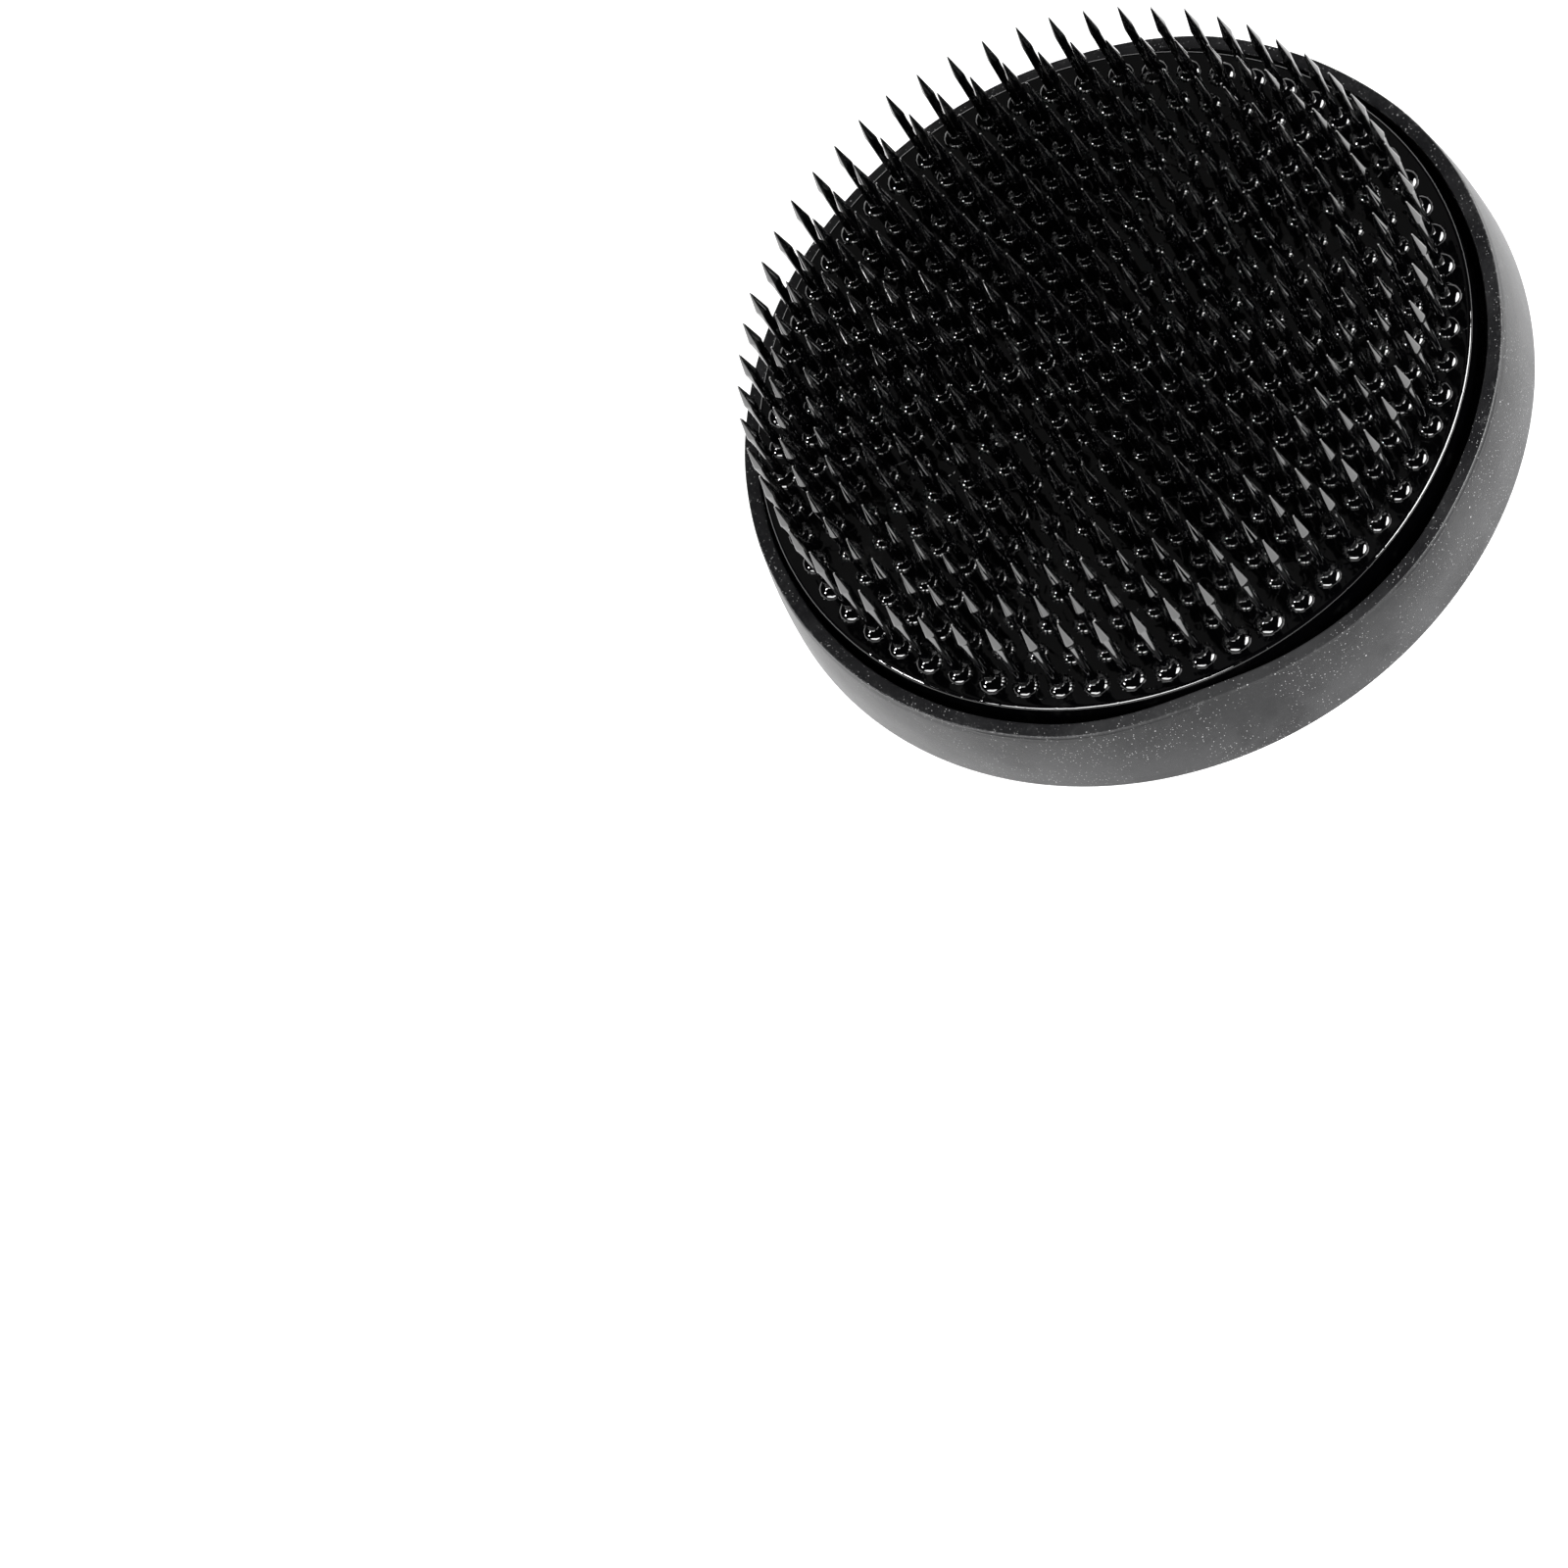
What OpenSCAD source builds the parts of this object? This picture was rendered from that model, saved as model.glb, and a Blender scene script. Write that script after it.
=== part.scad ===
// Round pin flower frog (kenzan): a heavy cast base plate set with rings of
// upright four-sided needles, lying loose in a rubber ring that guards the vase.
// Origin: centre of the underside of the rubber ring. +Z points up along the needles.

/* [Rubber ring] */
// Outside diameter at the foot of the ring
ring_foot_d = 80; // [79:1:100]
// How much narrower the ring is at its rim than at its foot
ring_draft = 1.8; // [0:0.2:3]
// Height of the ring
ring_h = 8.9; // [7.5:0.1:12]
// Thickness of the ring's wall at the rim
ring_wall = 1.5; // [1:0.1:2]
// Thickness of the lip under the plate
lip_t = 1.5; // [1:0.1:2.5]
// How far the lip reaches inwards under the plate
lip_reach = 4.6; // [3:0.1:8]
// Rounding along the ring's outer foot and rim
ring_round = 0.4; // [0.2:0.1:0.6]

/* [Base plate] */
// Radial gap between the ring and the plate, so that the plate lifts out
plate_gap = 0.7; // [0.4:0.1:1.2]
// How far the plate's top stands above the rim of the ring
plate_proud = 0.9; // [0.2:0.1:2]
// Width of the bevel around the plate's top edge
plate_bevel = 0.3; // [0.1:0.1:0.6]

/* [Needles] */
// Number of needle rings around the centre needle
ring_count = 10; // [2:1:10]
// Spacing between one needle ring and the next
ring_pitch = 3.44; // [3.2:0.02:3.5]
// Diameter of the needle wire
wire_d = 1.0; // [0.8:0.1:1.2]
// Height of the needle tips above the plate
needle_h = 12.3; // [9:0.1:15]
// Depth of the needles in the plate
needle_set = 6; // [3:0.5:6.5]
// Length of the four-sided point
point_l = 3.4; // [2.6:0.1:4]
// Length of the swell between the round wire and the foot of the point
swell_l = 1.9; // [1.2:0.1:2.4]

/* [Collars] */
// Diameter of the cast collar at the foot of each needle
collar_d = 2.7; // [2:0.1:2.9]
// Height of the cast collar
collar_h = 0.45; // [0.2:0.05:0.8]

/* [Hidden] */
$fn = 48;

foot_r = ring_foot_d / 2;
rim_r = foot_r - ring_draft / 2;
bore_r = rim_r - ring_wall;
plate_r = bore_r - plate_gap;
seat_gap = 0.05;                       // between the lip and the plate's underside
plate_z = lip_t + seat_gap;
top_z = ring_h + plate_proud;
tip_z = top_z + needle_h;

per_turn = 6;                          // ring k carries per_turn * k needles
wire_r = wire_d / 2;
foot_z = tip_z - point_l;              // foot of the point, the widest place of a needle
flat_half = 0.52 * wire_d;             // half-width of the square at the foot of the point
root_half = 0.3 * wire_d;              // half-width where the head's corners sink into the wire
shoulder = 0.1;                        // the wire ends this far below the foot, inside the head
turn_rate = 0.5;                       // a needle's facets turn half as fast as its ring angle
turn_first = 32.6;                     // facet angle of the first needle of a ring
tip_half = 0.03;                       // half-width of the blunted tip
cut = 1;                               // reach of a cutter past the face that it cuts

// Ring of the L-shaped section: drafted outer wall, straight bore, lip under the plate.
module rubber_ring() {
    color("#3a3a3c")
    rotate_extrude($fn = 96)
    polygon([
        [bore_r - lip_reach, 0],
        [foot_r - ring_round, 0],
        [foot_r, ring_round],
        [rim_r, ring_h - ring_round],
        [rim_r - ring_round, ring_h],
        [bore_r, ring_h],
        [bore_r, lip_t],
        [bore_r - lip_reach, lip_t]
    ]);
}

// Copies its child to every needle place of ring k. Ring 0 is the centre needle.
module ring_places(k) {
    n = max(1, per_turn * k);
    for (i = [0 : n - 1])
        rotate(i * 360 / n)
        translate([k * ring_pitch, 0, 0])
        children();
}

// Cast disc with a bevelled top edge, a collar and a blind socket for each needle.
module base_plate() {
    color("#161618")
    difference() {
        union() {
            rotate_extrude($fn = 96)
            polygon([
                [0, plate_z],
                [plate_r - plate_bevel, plate_z],
                [plate_r, plate_z + plate_bevel],
                [plate_r, top_z - plate_bevel],
                [plate_r - plate_bevel, top_z],
                [0, top_z]
            ]);
            for (k = [0 : ring_count])
                ring_places(k)
                translate([0, 0, top_z - collar_h])
                cylinder(h = 2 * collar_h, r1 = collar_d / 2 + wire_r / 2, r2 = collar_d / 2 - wire_r);
        }
        for (k = [0 : ring_count])
            ring_places(k)
            translate([0, 0, top_z - needle_set])
            cylinder(h = needle_set + collar_h + cut, r = wire_r, $fn = 24);
    }
}

// Side outline of a needle's head: up from inside the wire to the foot of the point, then to the tip.
module head_outline() {
    polygon([
        [tip_half, tip_z],
        [flat_half, foot_z],
        [root_half, foot_z - swell_l],
        [-root_half, foot_z - swell_l],
        [-flat_half, foot_z],
        [-tip_half, tip_z]
    ]);
}

// One needle: round wire that swells into a square foot and ends in a four-sided point.
module needle() {
    translate([0, 0, top_z - needle_set])
    cylinder(h = foot_z - shoulder - top_z + needle_set, r = wire_r, $fn = 24);
    intersection() {
        rotate([90, 0, 0])
        linear_extrude(height = 2 * wire_d, center = true) head_outline();
        rotate([90, 0, 90])
        linear_extrude(height = 2 * wire_d, center = true) head_outline();
    }
}

// All needles of ring k, each with its facets turned by its place on the ring.
module needle_ring(k) {
    n = max(1, per_turn * k);
    color("#1c1c1e")
    for (i = [0 : n - 1])
        rotate(i * 360 / n)
        translate([k * ring_pitch, 0, 0])
        rotate((turn_rate - 1) * i * 360 / n + turn_first)
        needle();
}

rubber_ring();
base_plate();
needle_ring(0);  // centre_needle
for (k = [1 : ring_count])
    needle_ring(k);
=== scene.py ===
import math

import bpy
import numpy as np
from mathutils import Matrix, Vector


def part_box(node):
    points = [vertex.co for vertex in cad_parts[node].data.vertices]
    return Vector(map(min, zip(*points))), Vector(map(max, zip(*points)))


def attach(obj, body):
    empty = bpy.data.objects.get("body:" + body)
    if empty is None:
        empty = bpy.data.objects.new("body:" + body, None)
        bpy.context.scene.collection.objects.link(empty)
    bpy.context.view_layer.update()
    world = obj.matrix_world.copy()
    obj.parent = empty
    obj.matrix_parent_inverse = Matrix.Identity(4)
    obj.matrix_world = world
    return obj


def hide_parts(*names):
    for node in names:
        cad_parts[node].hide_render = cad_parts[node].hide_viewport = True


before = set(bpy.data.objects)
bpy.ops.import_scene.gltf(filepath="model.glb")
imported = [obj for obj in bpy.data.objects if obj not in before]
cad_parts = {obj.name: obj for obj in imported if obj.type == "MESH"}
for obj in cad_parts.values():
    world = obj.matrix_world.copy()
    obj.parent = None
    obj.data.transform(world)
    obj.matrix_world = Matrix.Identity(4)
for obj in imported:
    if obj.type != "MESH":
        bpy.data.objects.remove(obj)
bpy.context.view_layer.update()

mm = 0.001  # every size in the dictionaries below is in millimetres
scene = bpy.context.scene

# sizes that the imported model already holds, so that nothing is stated twice
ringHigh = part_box("rubber_ring")[1]
plateLow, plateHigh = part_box("base_plate")
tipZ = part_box("centre_needle")[1].z / mm
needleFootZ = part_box("centre_needle")[0].z / mm
ringPitch = (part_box("needle_ring_2")[1].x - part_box("needle_ring_1")[1].x) / mm
footRadius = ringHigh.x / mm
rimHeight = ringHigh.z / mm
plateRadius = plateHigh.x / mm
plateFootZ = plateLow.z / mm
ringNodes = sorted((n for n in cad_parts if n.startswith("needle_ring_")),
                   key=lambda n: int(n.rsplit("_", 1)[1]))
print("frame loaded:", len(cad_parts), "nodes, needle pitch", round(ringPitch, 3), "mm")


# meshes

def smoothStep(x):
    # 3x^2 - 2x^3 on 0..1, flat outside
    t = np.clip(x, 0, 1)
    return t * t * (3 - 2 * t)


def gridFaces(rows, columns, start=0, closeRows=False):
    # quads of a grid that closes on itself along its columns, and along its rows if asked
    r = np.arange(rows if closeRows else rows - 1)[:, None]
    c = np.arange(columns)[None, :]
    r2, c2 = (r + 1) % rows, (c + 1) % columns
    quads = np.stack([r * columns + c, r * columns + c2, r2 * columns + c2, r2 * columns + c], -1)
    return quads.reshape(-1, 4) + start


def buildMesh(name, points, faces, normals=None):
    # points in millimetres; a row of normals that is all zero keeps the mesh's own smooth normal
    mesh = bpy.data.meshes.new(name)
    mesh.from_pydata((np.asarray(points) * mm).tolist(), [], faces)
    mesh.polygons.foreach_set("use_smooth", np.ones(len(mesh.polygons), bool))
    mesh.update(calc_edges=True)
    if normals is not None:
        own = np.empty(len(mesh.vertices) * 3, np.float32)
        mesh.vertex_normals.foreach_get("vector", own)
        given = np.abs(normals).sum(1, keepdims=True) > 0
        mesh.normals_split_custom_set_from_vertices(np.where(given, normals, own.reshape(-1, 3)).tolist())
    piece = bpy.data.objects.new(name, mesh)
    scene.collection.objects.link(piece)
    return piece


def setAmount(piece, name, amount):
    # 0..1 for each vertex, which the materials read by name
    values = piece.data.attributes.new(name, "FLOAT", "POINT")
    values.data.foreach_set("value", np.asarray(amount, np.float32).ravel())


def tilted(azimuth, rise):
    # unit vectors at these azimuths and rises, in radians
    azimuth, rise = np.broadcast_arrays(azimuth, rise)
    return np.stack([np.cos(rise) * np.cos(azimuth), np.cos(rise) * np.sin(azimuth), np.sin(rise)], -1)


def seat(piece, body, slot, *nodes):
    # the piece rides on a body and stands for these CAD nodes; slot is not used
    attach(piece, body)
    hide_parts(*nodes)


# shader nodes

class Wire:
    # a socket that Python arithmetic can be done on; each operator adds its Math node
    def __init__(self, paint, socket):
        self.paint, self.socket = paint, socket

    def math(self, operation, first, second, clamp=False):
        return self.paint.add("ShaderNodeMath", {0: first, 1: second}, operation=operation, use_clamp=clamp)

    def __add__(self, other):
        return self.math("ADD", self, other)

    def __radd__(self, other):
        return self.math("ADD", other, self)

    def __rsub__(self, other):
        return self.math("SUBTRACT", other, self)

    def __mul__(self, other):
        return self.math("MULTIPLY", self, other)

    def __rmul__(self, other):
        return self.math("MULTIPLY", other, self)

    def clamped(self):
        return self.math("ADD", self, 0.0, clamp=True)

    def ramp(self, low, high):
        # 0 at low, 1 at high, eased
        return self.paint.add("ShaderNodeMapRange", {"Value": self, "From Min": low, "From Max": high},
                              interpolation_type="SMOOTHSTEP", clamp=True)


speckSolid = 0.6    # a speck is solid out to this share of its radius
speckMargin = 0.15  # the share of cells that hold a speck is soft by this much


class Paint:
    # one material's node tree
    def __init__(self, name, **uniform):
        self.material = bpy.data.materials.new(name)
        self.material.use_nodes = True
        self.tree = self.material.node_tree
        self.shader = self.tree.nodes["Principled BSDF"]
        for socket, value in uniform.items():
            self.shader.inputs[socket.replace("_", " ")].default_value = value
        self.place = self.add("ShaderNodeTexCoord", {}, out="Object")

    def add(self, kind, inputs, out=0, **settings):
        # any node: settings first, then socket values or links; returns the wanted output
        node = self.tree.nodes.new(kind)
        for key, value in settings.items():
            setattr(node, key, value)
        for key, value in inputs.items():
            socket = node.inputs[key]
            if isinstance(value, Wire):
                value = value.socket
            if isinstance(value, bpy.types.NodeSocket):
                self.tree.links.new(value, socket)
            else:
                socket.default_value = value
        return Wire(self, node.outputs[out])

    def noise(self, size, detail=2.0, roughness=0.5, distortion=0.0, stretch=(1, 1, 1)):
        # soft noise whose blobs are about size millimetres across
        place = self.add("ShaderNodeMapping", {"Vector": self.place, "Scale": stretch})
        values = {"Vector": place, "Scale": 1 / (size * mm), "Detail": detail,
                  "Roughness": roughness, "Distortion": distortion}
        return self.add("ShaderNodeTexNoise", values, out="Fac")

    def specks(self, spacing, radius, share, shift):
        # 1 inside small specks, one in each of this share of a jittered lattice's cells
        place = self.add("ShaderNodeMapping", {"Vector": self.place, "Location": shift})
        values = {"Vector": place, "Scale": 1 / (spacing * mm)}
        cell = self.add("ShaderNodeTexVoronoi", values, out="Distance")
        pick = Wire(self, cell.socket.node.outputs["Color"])  # the same all over one cell
        strength = pick.ramp(1 - share - speckMargin, 1 - share + speckMargin)
        return (1 - cell.ramp(radius / spacing * speckSolid, radius / spacing)) * strength

    def mixColour(self, amount, first, second):
        # the Mix node's colours are its sockets 6 and 7, and its colour result is output 2
        colours = [(*c, 1) if isinstance(c, tuple) else c for c in (first, second)]
        return self.add("ShaderNodeMix", {0: amount, 6: colours[0], 7: colours[1]}, out=2, data_type="RGBA")

    def attribute(self, name):
        return self.add("ShaderNodeAttribute", {}, out="Fac", attribute_name=name)

    def bump(self, height, depth):
        # depth in millimetres is the height of the bump where height is 1
        return self.add("ShaderNodeBump", {"Height": height, "Distance": depth * mm, "Strength": 1.0})

    def feed(self, socket, value):
        self.tree.links.new(value.socket, self.shader.inputs[socket])


lacquer = {
    "black": (0.0003, 0.0003, 0.0004),  # the lacquer itself
    "haze": (0.004, 0.004, 0.0039),     # thin dust and dry patches in it
    "steel": (0.62, 0.61, 0.59),        # bare wire, where the coat is rubbed through
    "roughness": (0.04, 0.12),          # clear coat, hazy coat
    "steelRoughness": 0.25,             # more of it where the wire is bare
    "cloudSize": 5.0,                   # drifts of dust
    "cloudRange": (0.56, 0.70),
    "drySize": 1.1,                     # dry patches
    "dryRange": (0.42, 0.60),
    "dryShare": 0.25,                   # how far the roughness follows the dry patches alone
    "rubSize": 0.45,
    "rubRange": (0.36, 0.62),
    "poolSize": 2.6,                    # width of the slow waves in the pooled coat
    "poolDepth": 0.050,
    "shoreSize": 2.3,                   # low steps where one run of lacquer stopped on another
    "shoreRange": (0.47, 0.53),
    "shoreDepth": 0.014,
    "peelSize": 0.55,                   # orange peel
    "peelDepth": 0.0035,
}


def makeLacquer(name, waves, ior):
    # glossy black dip coat, hazy where drifts and dry patches meet; waves scales the slow ripple
    s = lacquer
    paint = Paint(name, IOR=ior)
    cloud = paint.noise(s["cloudSize"], detail=4.0)
    dry = paint.noise(s["drySize"], detail=5.0, roughness=0.65)
    haze = (cloud.ramp(*s["cloudRange"]) * dry.ramp(*s["dryRange"])).clamped()
    coat = paint.mixColour(haze, s["black"], s["haze"])
    rub = paint.noise(s["rubSize"], detail=3.0, roughness=0.7)
    bare = paint.attribute("wear") * rub.ramp(*s["rubRange"])
    paint.feed("Base Color", paint.mixColour(bare, coat, s["steel"]))
    paint.feed("Metallic", bare)
    low, high = s["roughness"]
    dull = (1 - s["dryShare"]) * haze + s["dryShare"] * dry
    paint.feed("Roughness", low + (high - low) * dull + s["steelRoughness"] * bare)
    pools = paint.noise(s["poolSize"], detail=1.0, distortion=0.6)
    shore = paint.noise(s["shoreSize"], detail=1.0, distortion=0.3).ramp(*s["shoreRange"])
    peel = paint.noise(s["peelSize"], detail=2.0)
    height = (pools * s["poolDepth"] + shore * s["shoreDepth"]) * waves + peel * s["peelDepth"]
    paint.feed("Normal", paint.bump(height, 1.0))
    return paint.material


rubber = {
    "ior": 1.40,
    "body": (0.0035, 0.0035, 0.004),
    "bloom": (0.011, 0.011, 0.0115),   # pale film that rubber grows
    "paleFoot": (0.024, 0.024, 0.025),  # lighter towards the foot
    "dust": (0.24, 0.24, 0.24),
    "bloomSize": 9.0,
    "bloomRange": (0.35, 0.75),
    "paleFootRange": (0.25, 0.60),
    # specks: their spacing, their radius, the share of places that hold one, the pattern's shift in metres
    "fineDust": (0.31, 0.065, 0.65, (0.011, 0.007, 0.003)),
    "coarseDust": (1.2, 0.11, 0.50, (0.004, 0.013, 0.009)),
    "dustAmount": 0.9,
    "patchSize": 4.0,                  # fine dust lies in patches
    "patchRange": (0.34, 0.58),
    "rubSize": 1.6,                    # faint rub marks, flat and drawn out along the wall
    "rubStretch": (1, 1, 7),
    "rubRange": (0.60, 0.72),
    "rubAmount": 0.05,
    "wornSize": 0.45,                  # worn spots along the rim's outer edge
    "wornRange": (0.50, 0.66),
    "wornAmount": 0.22,
    "roughness": (0.27, 0.38),         # bare body, bloomed body
    "dustRoughness": 0.3,
    "dull": 0.42,                      # extra roughness on the side that is held
    "grainSize": 0.20,
    "grainDepth": 0.020,
    "dustDepth": 0.01,
    "hollowSize": 3.0,                 # slow hollows in the moulded wall
    "hollowDepth": 0.035,
}


def makeRubber(name):
    # moulded black rubber: fine grain, pale bloom, dust specks, faint rub marks, a worn rim edge
    s = rubber
    paint = Paint(name, IOR=s["ior"])
    bloom = paint.noise(s["bloomSize"], detail=5.0, roughness=0.6)
    patches = paint.noise(s["patchSize"], detail=3.0).ramp(*s["patchRange"])
    specks = paint.specks(*s["fineDust"]) * patches + paint.specks(*s["coarseDust"])
    rub = paint.noise(s["rubSize"], detail=4.0, roughness=0.7, stretch=s["rubStretch"]).ramp(*s["rubRange"])
    spots = paint.noise(s["wornSize"], detail=4.0, roughness=0.7).ramp(*s["wornRange"])
    worn = paint.attribute("wear") * spots
    dust = (specks * s["dustAmount"] + rub * s["rubAmount"] + worn * s["wornAmount"]).clamped()
    base = paint.mixColour(bloom.ramp(*s["bloomRange"]), s["body"], s["bloom"])
    # the wall's colour turns lighter towards the foot, more where the bloom is
    low = paint.attribute("low") * bloom.ramp(*s["paleFootRange"])
    base = paint.mixColour(low, base, s["paleFoot"])
    paint.feed("Base Color", paint.mixColour(dust, base, s["dust"]))
    plain, bloomed = s["roughness"]
    held = paint.attribute("held") * s["dull"]
    roughness = plain + (bloomed - plain) * bloom + dust * s["dustRoughness"] + held
    paint.feed("Roughness", roughness.clamped())
    grain = paint.noise(s["grainSize"], detail=3.0, roughness=0.6)
    hollows = paint.noise(s["hollowSize"], detail=1.0)
    height = grain * s["grainDepth"] + hollows * s["hollowDepth"] + dust * s["dustDepth"]
    paint.feed("Normal", paint.bump(height, 1.0))
    return paint.material


plateLacquer = makeLacquer("plateLacquer", waves=1.0, ior=1.6)
dropLacquer = makeLacquer("dropLacquer", waves=0.3, ior=1.55)
needleLacquer = makeLacquer("needleLacquer", waves=0.2, ior=1.9)
rubberMaterial = makeRubber("mouldedRubber")
print("materials made")


# rubber ring

ringShape = {
    "foot": footRadius + 0.2,     # the soft foot flares a little
    "rim": footRadius - 0.9,      # outer radius at the top
    "wall": 1.5,
    "height": rimHeight,
    "belly": 0.17,                # the outer wall stands this much proud at mid height
    "wallRows": [0.03, 0.1, 0.22, 0.36, 0.5, 0.64, 0.78, 0.88, 0.925],  # shares of the way up the wall
    "outerRound": 0.14,
    "innerRound": 0.22,
    "footRound": 0.22,
    "beside": 0.08,               # a row this far past a rounding keeps the flat beside it flat
    "lipReach": 4.6,
    "lipThickness": 1.5,
    "lipRound": 0.4,
    "lipMiddle": 2.2,             # a row half way along the lip
    "flash": 0.09,                # ridge where the two halves of the mould met, under the rim's outer edge
    "flashHalf": 0.09,            # half its height
    "flashDrop": 0.43,            # from the rim down to it
    "flashSharp": 0.05,           # rows nearer than this to its height go in where it has a gap
    "flashStep": (0.02, -0.03),   # how far the wall stands out just below it and just above it
    "sitsOff": 0.58,              # the plate has play in the ring, and the ring sits this far off
    "sitsTowards": 245.0,         # in this direction, degrees from +X
    "leans": 0.10,                # the free top edge leans the same way
    "bends": (1.0, rimHeight - 0.5),  # the wall is stiff below the first height and free above the second
    "wornDrop": 0.08,             # the worn band's middle, below the rim
    "wornHeight": 0.15,
    "wornWidth": 0.25,
    "wornInside": 0.3,            # the band starts this far inside the outer radius
    "cleanTowards": 243.0,        # the side where the rim is least worn
    "cleanWidth": 45.0,
    "cleanShare": 0.8,
    "heldTowards": 218.0,         # the side that fingers hold has the dullest rubber
    "heldWidth": 24.0,
    "columns": 320,
}
# soft rubber isn't quite round: (direction in degrees, half width in degrees, push in mm)
ringDents = [(213.3, 14.0, -1.0), (250.3, 12.0, 0.30), (7.3, 14.0, 0.40)]
# (waves round the ring, phase, push in mm)
ringWaves = [(9, 1.3, 0.02), (23, 0.0, 0.012)]
# the flash ridge comes and goes: (waves round the ring, phase, share)
flashWaves = [(5, 0.4, 1.0), (17, 0.0, 0.6)]


def arcPoints(cx, cz, radius, start, stop, count):
    # (cx + r cos a, cz + r sin a), angles in degrees
    a = np.radians(np.linspace(start, stop, count))
    return np.column_stack([cx + radius * np.cos(a), cz + radius * np.sin(a)])


def ringProfile():
    # closed (radius, height) loop: up the outside, over the rim, down the bore, round the lip
    s = ringShape
    bore, rim, top, lip = s["rim"] - s["wall"], s["rim"], s["height"], s["lipThickness"]
    o, i, f, e = s["outerRound"], s["innerRound"], s["footRound"], s["lipRound"]
    beside, lipEnd = s["beside"], bore - s["lipReach"] + e
    share = np.array(s["wallRows"])
    outer = np.column_stack([s["foot"] + (rim - s["foot"]) * share + s["belly"] * np.sin(np.pi * share),
                             f + (top - o - f) * share])
    ridge, half = top - s["flashDrop"], s["flashHalf"]
    below, above = s["flashStep"]
    return np.vstack([
        outer,
        [[rim + below, ridge - half], [rim + s["flash"], ridge], [rim + above, ridge + half]],
        arcPoints(rim - o, top - o, o, 4, 86, 5),
        [[rim - o - beside, top], [bore + i + beside, top]],
        arcPoints(bore + i, top - i, i, 92, 178, 5),
        np.column_stack([np.full(5, bore), np.linspace(top - 0.5, lip + 0.2, 5)]),
        [[bore - 0.1, lip], [bore - s["lipMiddle"], lip]],
        arcPoints(lipEnd, lip - e, e, 92, 178, 4),
        arcPoints(lipEnd, e, e, 182, 268, 4),
        [[bore, 0.0], [s["foot"] - f - beside, 0.0]],
        arcPoints(s["foot"] - f, f, f, 272, 358, 5),
    ])


def bellAround(a, towards, width):
    # e^-((a - towards) / width)^2 round a circle; a in radians, the other two in degrees
    apart = (np.degrees(a) - towards + 180) % 360 - 180
    return np.exp(-(apart / width) ** 2)


def makeRing():
    # r(a, v) = profile r + free(z) push(a) - the gaps in the flash; then the whole ring shifts
    # push(a) = lean cos(a - t) + sum of dent e^-((a - d) / width)^2 + sum of wave sin(n a + phase)
    s = ringShape
    profile = ringProfile()
    a = np.linspace(0, 2 * np.pi, s["columns"], endpoint=False)[None, :]
    radius, height = profile[:, :1], profile[:, 1:]
    towards = math.radians(s["sitsTowards"])
    push = s["leans"] * np.cos(a - towards)
    for direction, width, amount in ringDents:
        push = push + amount * bellAround(a, direction, width)
    for count, phase, amount in ringWaves:
        push = push + amount * np.sin(count * a + phase)
    stiff, loose = s["bends"]
    free = smoothStep((height - stiff) / (loose - stiff))
    gap = smoothStep(0.5 + sum(share * np.sin(count * a + phase) for count, phase, share in flashWaves))
    onRidge = (radius > s["rim"]) * np.exp(-((height - s["height"] + s["flashDrop"]) / s["flashSharp"]) ** 2)
    r = radius + free * push - onRidge * s["flash"] * gap
    x = r * np.cos(a) + s["sitsOff"] * math.cos(towards)
    y = r * np.sin(a) + s["sitsOff"] * math.sin(towards)
    points = np.stack([x, y, height + 0 * a], -1).reshape(-1, 3)
    faces = gridFaces(len(profile), s["columns"], closeRows=True)[:, ::-1]
    piece = buildMesh("rubberRing", points, faces.tolist())
    band = np.exp(-((height - s["height"] + s["wornDrop"]) / s["wornHeight"]) ** 2)
    band = band * smoothStep((radius - s["rim"] + s["wornInside"]) / s["wornWidth"])
    clean = s["cleanShare"] * bellAround(a, s["cleanTowards"], s["cleanWidth"])
    setAmount(piece, "wear", band * (1 - clean))
    setAmount(piece, "held", bellAround(a, s["heldTowards"], s["heldWidth"]) + 0 * height)
    setAmount(piece, "low", smoothStep(1 - height / s["height"]) + 0 * a)
    piece.data.materials.append(rubberMaterial)
    seat(piece, "ring", "rubber", "rubber_ring")


makeRing()
print("rubber ring made")


# needles: ring k holds 6k of them

needleShape = {
    "wire": 0.5,            # radius of the round wire
    "wireFlat": 0.92,       # the section's flats on the wire, as a share of that
    "half": 0.49,           # half the width across the flats at the shoulder
    "corner": 0.66,         # reach of the lacquered corner there
    "cornerDrop": 0.012,    # and how much less it is just below
    "point": 3.37,          # tip to shoulder
    "swell": 1.5,           # shoulder to round wire
    "swellRise": -5.0,      # degrees that the coat faces up just below the shoulder
    "soften": 0.16,         # the coat rounds the shoulder over this length, up and down
    "tip": 0.065,           # half width of the blunt tip
    "tipCorner": 1.2,       # its corners reach this many times as far
    "tipRise": 50.0,
    "domeLength": 0.14,     # the coat's dome over the tip, and how much it widens
    "domeFlare": 0.02,
    "domeCorner": 1.25,
    "bead": 0.72,           # the flat's share of the way out to the lacquered corner
    "cushion": 8.0,         # degrees that the coat turns outwards at each side of a flat
    "lean": 0.45,           # degrees
    "leanFrom": 1.0,        # needles lean from this far below the plate's top
    "rubbed": (0.02, 0.08),  # how far the coat is rubbed through at the corners
    "rubbedDown": [1, 0.8, 0.5, 0.4, 0, 0],  # and how that fades from the tip down, row by row
    "turnFirst": 32.6,      # turn of the flats of the needle on +X
    "turnRate": 0.5,        # turn of the flats for each degree round the ring
    "turnSpread": 3.0,
    "seed": 11,
}


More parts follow.
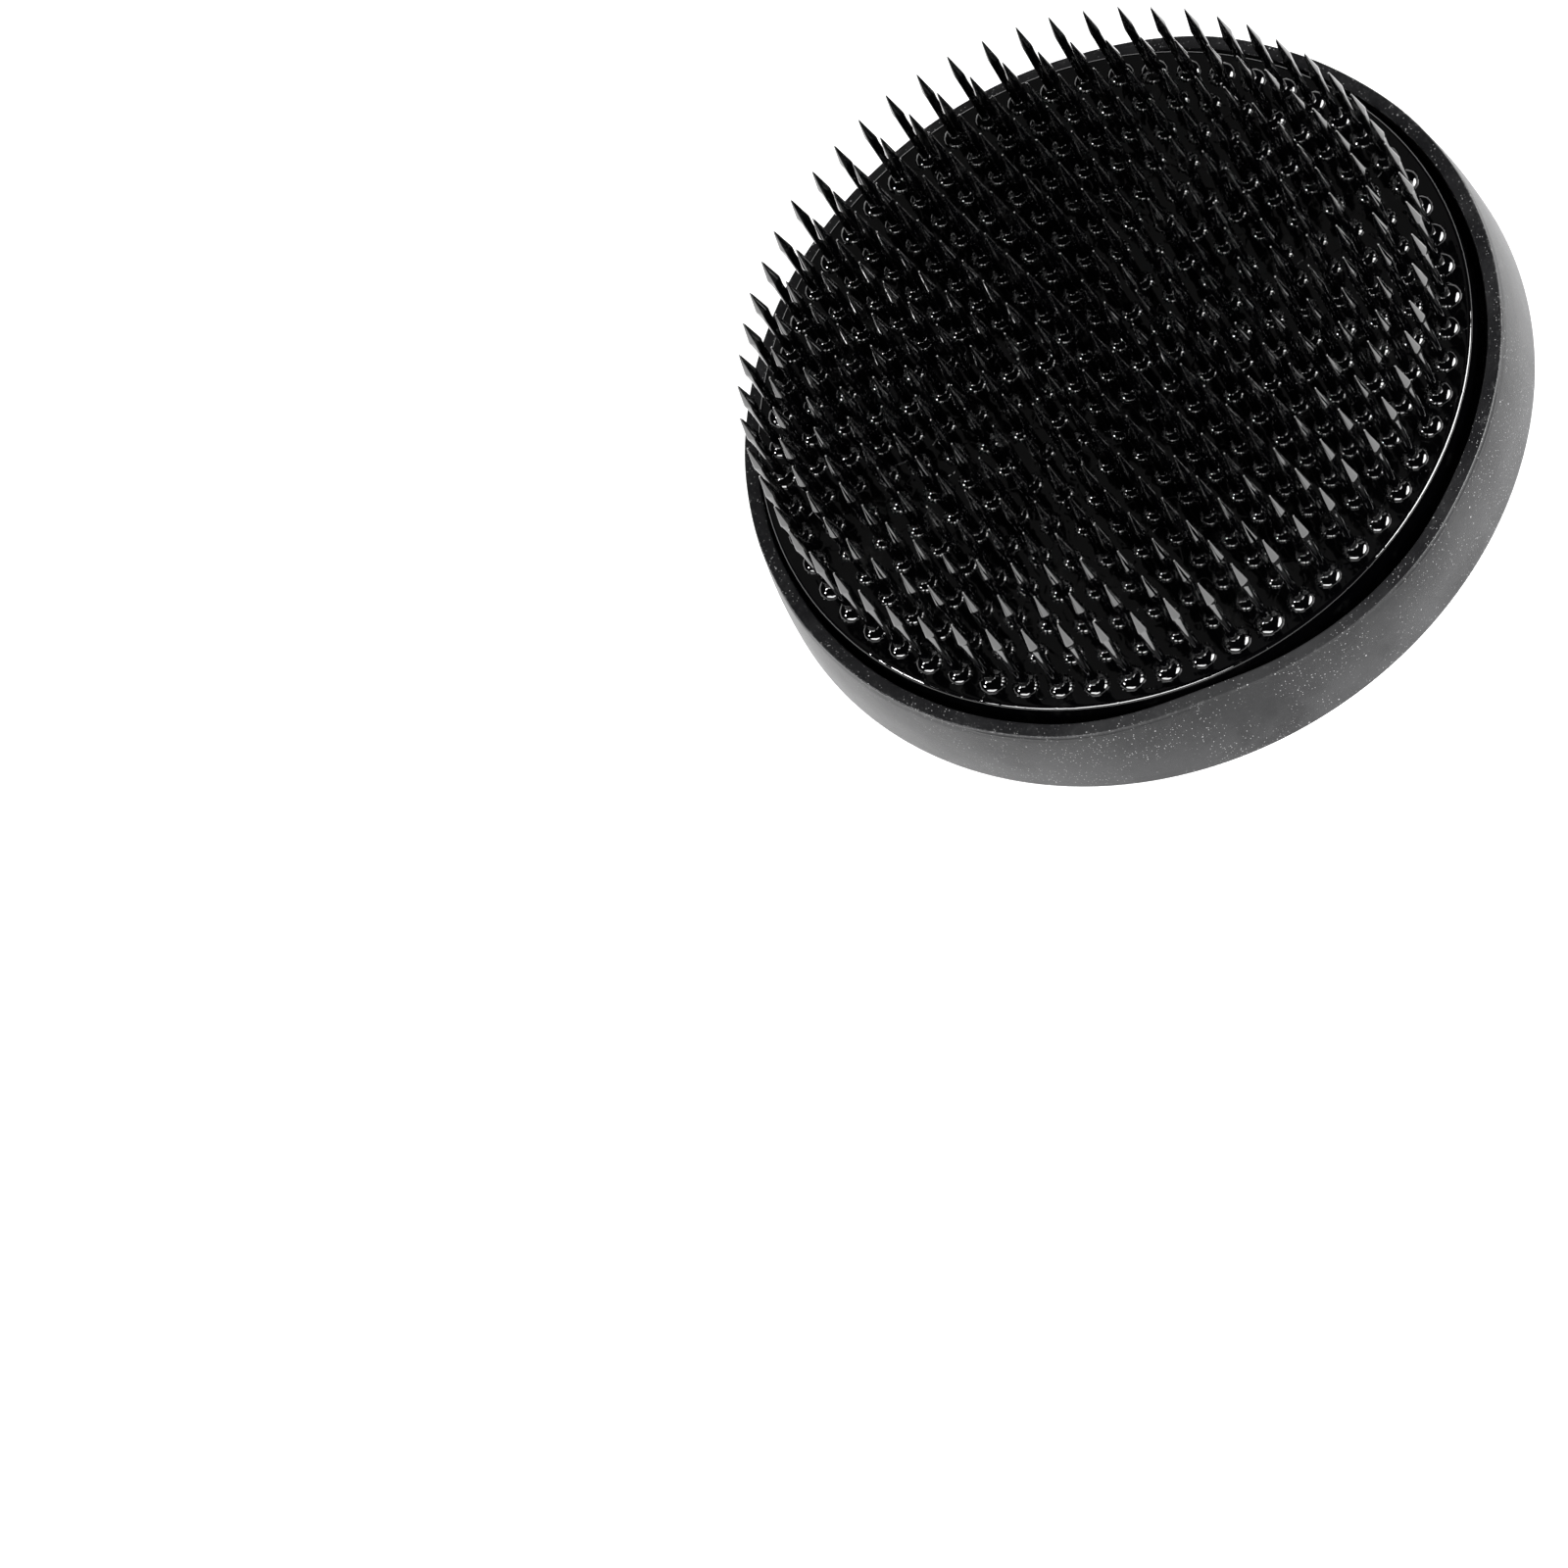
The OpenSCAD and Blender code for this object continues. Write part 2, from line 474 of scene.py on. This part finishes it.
def needleSurface():
    # section: r(b) = min(h / cos b, q) about each of four flats; h and q run along the needle
    s = needleShape
    wire, half, corner, point = s["wire"], s["half"], s["corner"], s["point"]
    tip, dome, cushion = s["tip"], s["tip"] + s["domeFlare"], s["cushion"]
    slope = math.degrees(math.atan(half / point))
    up = (point - s["soften"]) / point
    # distance below the tip, h, q, rise of the flat's normal in degrees, cushion
    rows = np.array([
        [0.0, tip, tip * s["tipCorner"], s["tipRise"], cushion],
        [s["domeLength"], dome, dome * s["domeCorner"], slope, cushion],
        [point * up, half * up, corner * up, slope, cushion],
        [point + s["soften"], half, corner - s["cornerDrop"], s["swellRise"], cushion],
        [point + s["swell"], wire * s["wireFlat"], wire, 0, 0],
        [tipZ - needleFootZ, wire * s["wireFlat"], wire, 0, 0],
    ])
    below, h, q, rise, cushion = (rows[:, i, None] for i in range(5))
    edge = np.arccos(np.clip(h / q, 0, 1))
    flat = np.arange(4)[None, :] * np.pi / 2
    side = edge * s["bead"]
    outer = flat + np.pi / 4 + 0 * edge
    flatReach = h / np.cos(side) + 0 * flat
    angle = np.stack([flat - side, flat + side, outer], -1).reshape(len(rows), -1)
    reach = np.stack([flatReach, flatReach, q + 0 * flat], -1).reshape(len(rows), -1)
    turned = np.where(cushion > 0, np.radians(cushion), side)
    facing = np.stack([flat - turned, flat + turned, outer], -1).reshape(len(rows), -1)
    points = np.stack([reach * np.cos(angle), reach * np.sin(angle), -below + 0 * angle], -1)
    wear = np.tile([0, 0, 1.0], 4) * np.array(s["rubbedDown"])[:, None]
    wear[0] = 1  # the whole tip is rubbed
    return points, tilted(facing, np.radians(rise)), wear


def makeNeedles(name, node, ring, random):
    # the one needle's surface turned, leant and set at ring * pitch (cos t, sin t), t = 2 pi i / (6 ring)
    s = needleShape
    surface, facing, wear = needleSurface()
    rowCount, columnCount = surface.shape[:2]
    each = rowCount * columnCount
    count = max(1, 6 * ring)
    around = (np.arange(count) * 2 * np.pi / count)[:, None]
    turn = np.radians(s["turnFirst"] + random.normal(0, s["turnSpread"], (count, 1)))
    turn = turn + s["turnRate"] * around
    lean = np.radians(random.normal(0, s["lean"], (count, 2)))
    c, n = np.cos(turn), np.sin(turn)
    local, normal = surface.reshape(1, each, 3), facing.reshape(1, each, 3)
    z = local[..., 2] + tipZ + 0 * c
    above = z - (plateTop - s["leanFrom"])
    x = local[..., 0] * c - local[..., 1] * n + ring * ringPitch * np.cos(around) + above * lean[:, :1]
    y = local[..., 0] * n + local[..., 1] * c + ring * ringPitch * np.sin(around) + above * lean[:, 1:]
    points = np.stack([x, y, z], -1).reshape(-1, 3)
    normalX = normal[..., 0] * c - normal[..., 1] * n
    normalY = normal[..., 0] * n + normal[..., 1] * c
    normals = np.stack([normalX, normalY, normal[..., 2] + 0 * c], -1).reshape(-1, 3)
    faces = []
    for start in range(0, count * each, each):
        faces += gridFaces(rowCount, columnCount, start)[:, ::-1].tolist()
        faces.append(list(range(start, start + columnCount)))
        faces.append(list(range(start + each - 1, start + each - 1 - columnCount, -1)))
    piece = buildMesh(name, points, faces, normals)
    setAmount(piece, "wear", wear.reshape(1, each) * random.uniform(*s["rubbed"], (count, 1)))
    piece.data.materials.append(needleLacquer)
    seat(piece, "frog", "lacquered_needle", node)


# base plate: a lacquered disc, and a drop of lacquer over the collar at the foot of each needle

plateShape = {
    "radius": plateRadius,
    "collarHeight": 0.45,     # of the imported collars, to find the plate's top
    "middle": 0.6,            # radius of the first row round the middle
    "edge": 0.40,             # rounding of the top edge
    "rise": 0.03,             # the coat gathers in a low bead along the edge
    "riseWidth": 0.9,
    "footRound": 0.35,
    "wallRows": [0.4, 3.0],   # rows on the side, this far below the top
    "topRows": 40,
    "columns": 256,
    # slow unevenness of the top: (turns across X and Y in radians per mm, phase, share)
    "waves": [(0.61, 0.33, 0.0, 1.0), (-0.27, 0.74, 1.1, 1.0), (1.3, -0.9, 2.0, 0.6)],
    "wave": 0.018,
    "waveStarts": (0.6, 0.1),  # below the top: no wave at the first depth, all of it at the second
    "waveEnds": 0.5,          # the waves end this far inside the edge
    "waveFades": 3.0,
}
plateTop = plateHigh.z / mm - plateShape["collarHeight"]
dropShape = {
    # (distance from the needle's axis, height above the plate, rise of the normal in degrees)
    "profile": [(0.46, 0.84, 10), (0.57, 0.64, 60), (0.90, 0.54, 67), (1.20, 0.36, 51),
                (1.38, 0.15, 32), (1.45, -0.04, 10)],
    "columns": 12,
    "innerSize": 0.84,        # of the drops inside the outer ring
    "sizeSpread": 0.05,
    "heightSpread": 0.08,
    "shift": 0.05,
    "seed": 5,
}


def plateWave(x, y):
    # wave times the weighted mean of three crossed sine waves
    waves = plateShape["waves"]
    total = sum(share * np.sin(kx * x + ky * y + phase) for kx, ky, phase, share in waves)
    return plateShape["wave"] * total / sum(share for *_, share in waves)


def makeDisc():
    # (r, z) profile turned round Z, with the wave on its top
    s = plateShape
    radius, edge, foot = s["radius"], s["edge"], s["footRound"]
    flatEnd = radius - edge - s["riseWidth"]
    gather = np.linspace(0, 1, 6)[1:-1]
    gathered = [flatEnd + s["riseWidth"] * gather, plateTop + s["rise"] * smoothStep(gather)]
    profile = np.vstack([
        np.column_stack([np.linspace(s["middle"], flatEnd, s["topRows"]), np.full(s["topRows"], plateTop)]),
        np.column_stack(gathered),
        arcPoints(radius - edge, plateTop + s["rise"] - edge, edge, 88, 2, 7),
        [[radius, plateTop - down] for down in s["wallRows"]],
        [[radius, plateFootZ + foot + 0.1]],
        arcPoints(radius - foot, plateFootZ + foot, foot, -4, -86, 5),
        [[radius - foot - 0.1, plateFootZ], [radius * 0.5, plateFootZ]],
    ])
    a = np.linspace(0, 2 * np.pi, s["columns"], endpoint=False)[None, :]
    r, height = profile[:, :1], profile[:, 1:]
    x, y = r * np.cos(a), r * np.sin(a)
    deep, shallow = s["waveStarts"]
    onTop = smoothStep((height - plateTop + deep) / (deep - shallow))
    fade = smoothStep((radius - s["waveEnds"] - r) / s["waveFades"])
    ring = np.stack([x, y, height + onTop * fade * plateWave(x, y)], -1).reshape(-1, 3)
    points = np.vstack([ring, [[0, 0, plateTop + plateWave(0, 0)], [0, 0, plateFootZ]]])
    column = np.arange(s["columns"])
    following = np.roll(column, -1)
    topPole, footPole, lastRow = len(ring), len(ring) + 1, len(ring) - s["columns"]
    faces = gridFaces(len(profile), s["columns"])[:, ::-1].tolist()
    faces += np.column_stack([column * 0 + topPole, column, following]).tolist()
    faces += np.column_stack([column * 0 + footPole, lastRow + following, lastRow + column]).tolist()
    return points, faces


def makeDrops(random, start):
    # one drop per needle: the drop's profile turned round it, with its own size, height and place
    d = dropShape
    counts = [max(1, 6 * k) for k in range(len(ringNodes) + 1)]
    ring = np.repeat(np.arange(len(counts)), counts)[:, None, None]
    turn = np.concatenate([np.arange(n) * 2 * np.pi / n for n in counts])[:, None, None]
    count = len(ring)
    size = random.normal(1, d["sizeSpread"], (count, 1, 1))
    size = size * np.where(ring < len(ringNodes), d["innerSize"], 1)
    tall = random.normal(1, d["heightSpread"], (count, 1, 1))
    shift = random.normal(0, d["shift"], (count, 2, 1, 1))
    reach, height, rise = np.array(d["profile"]).T[:, None, :, None]
    around = np.linspace(0, 2 * np.pi, d["columns"], endpoint=False)[None, None, :]
    spread = (reach - reach.min()) / np.ptp(reach)  # the top stays on the needle, the foot moves
    r = reach * (1 + (size - 1) * spread)
    x = ring * ringPitch * np.cos(turn) + r * np.cos(around) + shift[:, 0] * spread
    y = ring * ringPitch * np.sin(turn) + r * np.sin(around) + shift[:, 1] * spread
    z = plateTop + height * tall + plateWave(x, y)
    points = np.stack([x, y, z], -1).reshape(-1, 3)
    normals = tilted(around + 0 * x, np.radians(rise)).reshape(-1, 3)
    each, columns = len(d["profile"]) * d["columns"], d["columns"]
    faces = []
    for first in range(start, start + count * each, each):
        faces += gridFaces(len(d["profile"]), columns, first)[:, ::-1].tolist()
        faces.append(list(range(first, first + columns)))
        faces.append(list(range(first + each - 1, first + each - 1 - columns, -1)))
    return points, faces, normals


def makePlate():
    # one mesh: the disc in plate lacquer with its own normals, the drops in drop lacquer with theirs
    disc, discFaces = makeDisc()
    drops, dropFaces, dropNormals = makeDrops(np.random.default_rng(dropShape["seed"]), len(disc))
    normals = np.vstack([np.zeros_like(disc), dropNormals])
    piece = buildMesh("basePlate", np.vstack([disc, drops]), discFaces + dropFaces, normals)
    piece.data.materials.append(plateLacquer)
    piece.data.materials.append(dropLacquer)
    piece.data.polygons.foreach_set("material_index", np.arange(len(piece.data.polygons)) >= len(discFaces))
    seat(piece, "frog", "lacquered_plate", "base_plate")


makePlate()
print("base plate made")
needleRandom = np.random.default_rng(needleShape["seed"])
makeNeedles("centreNeedle", "centre_needle", 0, needleRandom)
for number, node in enumerate(ringNodes, 1):
    makeNeedles(f"needleRing{number:02d}", node, number, needleRandom)
print("needles made:", 1 + sum(6 * k for k in range(1, len(ringNodes) + 1)))


# studio

studio = {
    "floorRadius": 1500.0,
    "floorTurnUp": 350.0,     # radius of its turned up edge
    "floorColumns": 96,
    "floorCloud": 160.0,      # size of its faint clouds
    "floorDarkest": 0.97,
    "floorColour": (0.30, 0.30, 0.30),
    "floorGlow": 1.0,         # the floor shines as well, so that the shade on it stays pale
    "world": 0.012,
    "viewTurn": -34.7,        # degrees round the object, 0 looks along +Y
    "viewRise": 56.56,
    "viewRoll": 38.85,
    "lens": 157.1,
    "sensor": 36.0,
    "distance": 673.6,        # from the centre of the plate's top
    "aim": (31.96, 40.48),    # that centre, right of and above the middle of the view
}
# name, turn round the object from the camera, rise, distance, width, height, glow
softboxes = [
    ("softboxRight", 56.0, 31.0, 800, 860, 400, 20.0),
    ("softboxLeft", -52.0, 31.0, 800, 860, 300, 15.0),
    ("smallLamp", -110.0, 40.0, 800, 100, 100, 110.0),
    ("backBoard", 180.0, 58.0, 1100, 900, 600, 0.06),
]


def makeFloor():
    # a round floor whose edge turns up: (r, z) = flat, then a quarter circle
    s = studio
    flat = np.column_stack([np.linspace(0.25, 1, 4) * s["floorRadius"], np.zeros(4)])
    turn = arcPoints(s["floorRadius"], s["floorTurnUp"], s["floorTurnUp"], 278, 360, 10)
    profile = np.vstack([flat, turn])
    columns = s["floorColumns"]
    a = np.linspace(0, 2 * np.pi, columns, endpoint=False)[None, :]
    points = np.stack([profile[:, :1] * np.cos(a), profile[:, :1] * np.sin(a), profile[:, 1:] + 0 * a], -1)
    points = np.vstack([points.reshape(-1, 3), [[0, 0, 0]]])
    ring = np.arange(columns)
    faces = gridFaces(len(profile), columns).tolist()
    faces += np.column_stack([ring * 0 + len(points) - 1, ring, np.roll(ring, -1)]).tolist()
    floor = buildMesh("studioFloor", points, faces)
    paint = Paint("paleFloor", Roughness=0.7)
    tone = paint.noise(s["floorCloud"], detail=2.0)
    grey = tuple(s["floorDarkest"] * c for c in s["floorColour"])
    paint.feed("Base Color", paint.mixColour(tone, grey, s["floorColour"]))
    paint.shader.inputs["Emission Color"].default_value = (1, 1, 1, 1)
    paint.shader.inputs["Emission Strength"].default_value = s["floorGlow"]
    floor.data.materials.append(paint.material)


def directionOf(turn, rise):
    # unit vector from the object to a place; turn 0 is where a camera looking along +Y stands
    a, e = math.radians(turn), math.radians(rise)
    return Vector((math.sin(a) * math.cos(e), -math.cos(a) * math.cos(e), math.sin(e)))


def makeSoftbox(name, turn, rise, distance, width, height, glow):
    # an oval light that faces the object; its power grows with its size, so glow sets how bright it looks
    light = bpy.data.lights.new(name, "AREA")
    light.shape = "ELLIPSE"
    light.size, light.size_y = width * mm, height * mm
    light.energy = glow * math.pi * light.size * light.size_y
    box = bpy.data.objects.new(name, light)
    scene.collection.objects.link(box)
    towards = directionOf(studio["viewTurn"] + turn, rise)
    box.location = towards * distance * mm
    box.rotation_euler = towards.to_track_quat("Z", "Y").to_euler()


def makeCamera():
    s = studio
    back = directionOf(s["viewTurn"], s["viewRise"])
    level = Vector((0, 0, 1)).cross(back).normalized()
    upright = back.cross(level)
    roll = math.radians(s["viewRoll"])
    right = level * math.cos(roll) - upright * math.sin(roll)
    up = level * math.sin(roll) + upright * math.cos(roll)
    target = Vector((0, 0, plateTop))
    place = target + back * s["distance"] - right * s["aim"][0] - up * s["aim"][1]
    data = bpy.data.cameras.new("camera")
    data.lens = s["lens"]
    data.sensor_width = s["sensor"]
    camera = bpy.data.objects.new("camera", data)
    axes = Matrix((right, up, back)).transposed().to_4x4()
    camera.matrix_world = Matrix.Translation(place * mm) @ axes
    scene.collection.objects.link(camera)
    scene.camera = camera


makeFloor()
for softbox in softboxes:
    makeSoftbox(*softbox)
makeCamera()
scene.world = bpy.data.worlds.new("studioAir")
scene.world.use_nodes = True
scene.world.node_tree.nodes["Background"].inputs["Color"].default_value = (1, 1, 1, 1)
scene.world.node_tree.nodes["Background"].inputs["Strength"].default_value = studio["world"]
scene.view_settings.view_transform = "Standard"
print("studio made")
